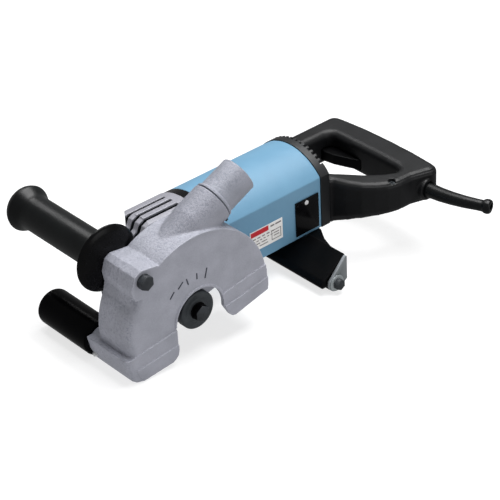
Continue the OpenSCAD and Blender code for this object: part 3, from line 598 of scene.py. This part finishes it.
def slot_painted_shade(x, y, z):
    """Painted shade inside the gear housing's cooling slots: the faces below their lit
    edges, where the slots lie in shadow.
    """
    starts = [SLOT_Y + SLOT_PITCH * i for i in range(SLOT_COUNT)]
    if z < 4 or x > SLOT_REAR_X \
            or not any(-0.6 < y - start < 5 for start in starts):
        return False
    if x > 13:
        return z < math.sqrt(GEAR_TOP_R ** 2 - (y - MOTOR_Y) ** 2) - 3.2
    if x > -12:
        for (x0, z0), (x1, z1) in zip(GEAR_FRONT, GEAR_FRONT[1:]):
            if x <= x1:
                return z < z0 + (z1 - z0) * (x - x0) / (x1 - x0) - 2.4
    return math.hypot(x, z) < 42.8


soften(["wheel_guard"], "guard_casting", 0.6, 4,
       [(guard_front, 50), (hood_blend, 70)])
gear_case = soften(["gear_housing"], "gear_case_casting", 0.65, 4)
# The cooling slots of the gear case get painted shade below their lit edges.
paint(gear_case, "slot", slot_painted_shade)
soften(["motor_housing"], "motor_case", 0.8, 5)
soften(["rear_vent_ring"], "rear_vent_moulding", 0.5, 3)
soften(["handle_upper", "handle_lower"], "handle_moulding", 0.8, 6,
       [(handle_edges, 12), (handle_inner, 18)])
soften(["rear_bracket"], "rear_bracket_moulding", 0.8, 8)
soften(["baffle_ring"], "baffle_moulding", 0.6, 3)
soften(["cord_guard"], "cord_guard_sleeve", 0.45, 12)
soften(["trigger"], "trigger_lever", 0.5, 8)

for cad_node, width in (("grip_bolt", 0.6), ("outer_flange", 0.5),
                        ("rear_plate_near", 0.4), ("rear_plate_far", 0.4),
                        ("brush_cover_near", 0.35), ("brush_cover_far", 0.35),
                        ("brush_cover_screws", 0.15)):
    bevelled(cad_node, cad_node + "_bevelled", width)
# The flats of the arbor bolt's head get the black roller material as painted shade, and
# its end keeps the bolt's own colour; the axle has a washer.
wheel_bolt = bevelled("arbor_bolt", "arbor_bolt_bevelled", 0.7)
bolt_end = min(v.co.y for v in wheel_bolt.data.vertices) / MM
paint(wheel_bolt, "roller", lambda x, y, z: y > bolt_end + 0.8)
axle = bevelled("rear_axle", "rear_axle_bevelled", 0.4)
paint(axle, "washer", lambda x, y, z: -33.7 < y < -32)

lathe("side_grip", "side_grip_rubber",
      [(5.03, 62.9), (5.03, 32.0)]
      + rounded([(17, 32), (19, 34), (19, 90), (19, 146), (19.7, 152.5),
                 (23.1, 158.5), (24.9, 162.4), (24.9, 164.4), (22.9, 169.4),
                 (17.9, 174), (10.9, 176), (0.4, 176.5)], 5.5, 6),
      GRIP_AXIS)
lathe("hand_shield", "hand_shield_disc",
      [(5.03, 32), (5.03, 25)]
      + rounded([(17, 25), (20, 26), (30.3, 28.2), (34.7, 30.2), (36.3, 32),
                 (36.3, 33), (35.1, 33.4), (30.3, 31.6), (24, 30), (19, 32),
                 (5.03, 32)], 1.2, 3)[:-1],
      GRIP_AXIS, ring=True)
lathe("front_roller", "front_roller_tyre",
      [(5, 113.9), (5, 38.6)]
      + rounded([(18.6, 38.6), (20, 40), (20, 80), (20, 116.6), (19, 119.2),
                 (16.5, 120.3), (0.4, 120.3)], 2.4, 5),
      FRONT_ROLLER_AXIS)
lathe("dust_spout", "dust_spout_tube",
      [(17.5, -9), (20, -9)]
      + rounded([(20, 0.3), (21.9, 0.3), (21.9, 2.3), (20, 3.9), (20, 20),
                 (20, 37.9), (18.9, 39), (17.5, 39)], 0.6, 3),
      SPOUT_SEAT, ring=True,
      frame_of=Matrix.Rotation(math.radians(90 - SPOUT_RISE), 4, "Y"))


def plate_print(name, spans, mat):
    """Thin marks on the name plate: (x0, x1, z0, z1) in mm."""
    bm = bmesh.new()
    for x0, x1, z0, z1 in spans:
        corners = [at(x, PLATE_FACE_Y, z) for x, z in
                   ((x0, z0), (x1, z0), (x1, z1), (x0, z1))]
        bm.faces.new([bm.verts.new(c) for c in corners])
    obj = add_object(name, to_mesh(bm, name), mat)
    thick = obj.modifiers.new("thick", "SOLIDIFY")
    thick.thickness = 0.08 * MM
    thick.offset = 0
    apply_modifiers(obj)
    return place(obj, "machine")


plate_print("plate_red_bar", [(118.4, 143.5, 6.2, 12.2)], "red")
heading = [(146.5, 152, 8.6, 10.4), (153.4, 161.5, 8.6, 10.4)]
dashes = [(121 + 6.5 * i, 125.2 + 6.5 * i, 2.2, 3.4) for i in range(5)] \
    + [(121 + 5 * i, 124 + 5 * i, -1.2, -0.2) for i in range(6)] \
    + [(121, 131, -4.8, -3.8), (133, 141, -4.8, -3.8),
       (121, 128, -8.4, -7.4), (130, 142, -8.4, -7.4)]
boxed_dashes = [(147.5, 161, 2.4, 3.2), (147.5, 161, -8.6, -7.8),
                (147.5, 148.3, -8.6, 3.2), (160.2, 161, -8.6, 3.2),
                (150.4, 158.2, -4.4, -3.4), (150.4, 158.2, -1.2, -0.2)]
plate_print("plate_marks", heading + dashes + boxed_dashes, "ink")


# --------------------------------------------------------- floor and lights

def make_stage():
    """A pale floor that glows a little, so it shows almost white."""
    bpy.ops.mesh.primitive_plane_add(size=12, location=(0, 0, 0))
    floor = bpy.context.object
    floor.name = "floor"
    low = cad_box[0][2]
    floor.location = (0, 0, low - 0.0002)
    floor.visible_glossy = False
    s = Shader("mat_floor", Roughness=0.9)
    socket(s.bsdf, "Specular IOR Level", 0.0)
    socket(s.bsdf, "Emission Color", (1, 1, 1, 1))
    socket(s.bsdf, "Emission Strength", 0.72)
    tint = s.noise(3, 2, 0.5)
    s.colour(s.ramp(tint, [(0.3, (0.34, 0.34, 0.345, 1)),
                           (0.7, (0.36, 0.36, 0.36, 1))]))
    floor.data.materials.append(s.mat)


def area(name, size, power, position):
    """A soft light aimed at the middle of the machine."""
    data = bpy.data.lights.new(name, "AREA")
    data.shape = "RECTANGLE"
    data.size, data.size_y = size
    data.energy = power
    light = bpy.data.objects.new(name, data)
    scene.collection.objects.link(light)
    light.location = position
    aim = Vector((0.1, 0.05, 0.05)) - Vector(position)
    light.rotation_euler = aim.to_track_quat("-Z", "Y").to_euler()


def make_lights():
    area("overhead", (1.5, 1.5), 60, (0.55, 0.1, 1.95))
    area("near_fill", (1.0, 1.0), 5, (0.5, -1.9, 0.8))
    area("back_rim", (0.7, 0.5), 6, (0.25, 1.25, 1.4))
    world = bpy.data.worlds.new("studio")
    world.use_nodes = True
    back = world.node_tree.nodes["Background"]
    socket(back, "Color", (1, 1, 1, 1))
    socket(back, "Strength", 0.25)
    scene.world = world
    scene.view_settings.view_transform = "Standard"


make_stage()
make_lights()
